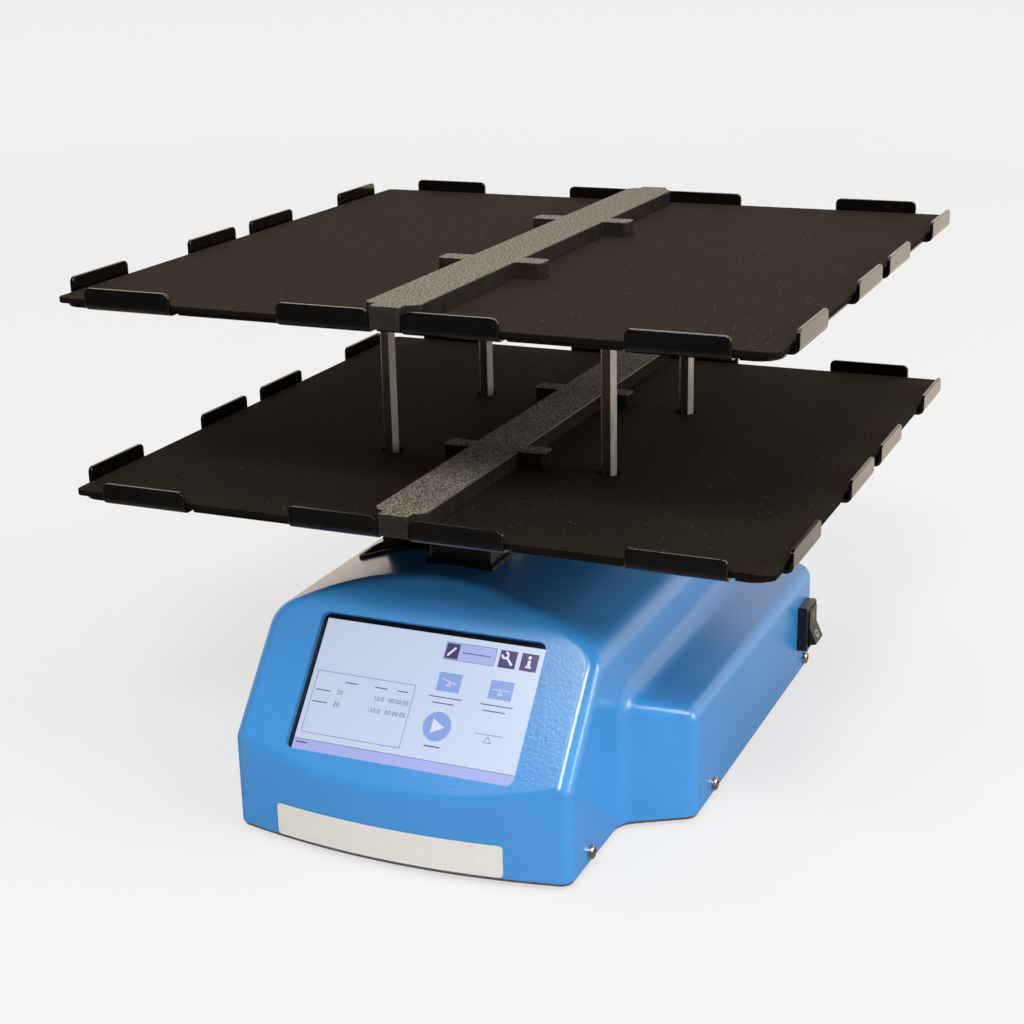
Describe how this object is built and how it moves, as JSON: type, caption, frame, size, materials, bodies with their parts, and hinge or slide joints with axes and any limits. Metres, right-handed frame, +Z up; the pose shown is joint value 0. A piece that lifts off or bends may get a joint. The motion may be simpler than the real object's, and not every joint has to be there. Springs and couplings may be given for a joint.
{
  "type": "rocker shaker",
  "caption": "Bench rocker shaker: stacked matted trays tip about a shaft on a moulded housing with a sloped touch screen and a mains switch.",
  "frame": {"origin": "on the bench under the middle of the outline", "axes": "+Z up, front with the screen towards -Y, switch on +X, trays tip about a shaft along Y"},
  "size_m": [0.3, 0.3115, 0.2216],
  "materials": {
    "blue_plastic": "glossy moulded blue",
    "black_coat": "satin black powder coat on aluminium sheet",
    "dark_rubber": "fine matt dimpled rubber",
    "black_rubber": "matt",
    "grey_foam_bar": "grainy top, smooth sides",
    "bare_aluminium": "brushed",
    "black_metal": "satin black",
    "screw_steel": "nickel plated",
    "ground_steel": "ground",
    "pinion_brass": "cut",
    "motor_black": "satin",
    "screen_glass": "lit touch screen behind clear glass",
    "display_metal": "pressed",
    "circuit_board": "solder mask",
    "cream_label": "satin print film",
    "black_plastic": "moulded"
  },
  "bodies": {
    "base": {"housing": "blue_plastic", "base_plate": "ground_steel", "feet": "black_rubber", "housing_screws": "screw_steel", "touch_glass": "screen_glass", "display_module": "display_metal", "display_board": "circuit_board", "display_clamp": "ground_steel", "display_screws": "screw_steel", "label_plate": "cream_label", "switch_body": "black_plastic", "power_inlet": "black_plastic", "inlet_nut": "screw_steel", "control_board": "circuit_board", "board_standoffs": "ground_steel", "stepper_motor": "motor_black", "motor_bracket": "bare_aluminium", "motor_screws": "screw_steel", "frame_screws": "screw_steel", "front_pivot_block": "black_metal", "rear_pivot_block": "black_metal", "front_upright": "bare_aluminium", "rear_upright": "bare_aluminium", "pivot_bearings": "ground_steel", "pivot_screws": "screw_steel", "slot_grommet": "black_rubber"},
    "rocker": {"rocking_shaft": "ground_steel", "shaft_hubs": "bare_aluminium", "shaft_collars": "ground_steel", "carrier_plate": "bare_aluminium", "hub_screws": "screw_steel", "drive_sector": "black_metal", "sector_screws": "screw_steel", "lower_tray": "black_coat", "lower_mat": "dark_rubber", "lower_bar": "grey_foam_bar", "hex_posts": "bare_aluminium", "lower_post_screws": "screw_steel", "upper_tray": "black_coat", "upper_mat": "dark_rubber", "upper_bar": "grey_foam_bar", "upper_post_screws": "screw_steel"},
    "motor_rotor": {"motor_shaft": "ground_steel", "motor_pinion": "pinion_brass"},
    "switch_rocker": {"switch_paddle": "black_plastic"}
  },
  "joints": [
    {"name": "tray_rock", "type": "hinge", "parent": "base", "child": "rocker", "pos_m": [0, 0.0077, 0.116], "axis": [0, 1, 0], "range_deg": [-15, 15]},
    {"name": "motor_turn", "type": "hinge", "parent": "base", "child": "motor_rotor", "pos_m": [-0.01497, 0, 0.04557], "axis": [0, 1, 0], "range_deg": [-120, 120]},
    {"name": "switch_press", "type": "hinge", "parent": "base", "child": "switch_rocker", "pos_m": [0.1022, 0.0855, 0.0274], "axis": [0, 1, 0], "range_deg": [0, 24]}
  ],
  "couplings": [
    {"joint": "motor_turn", "follows": "tray_rock", "ratio": -8}
  ]
}
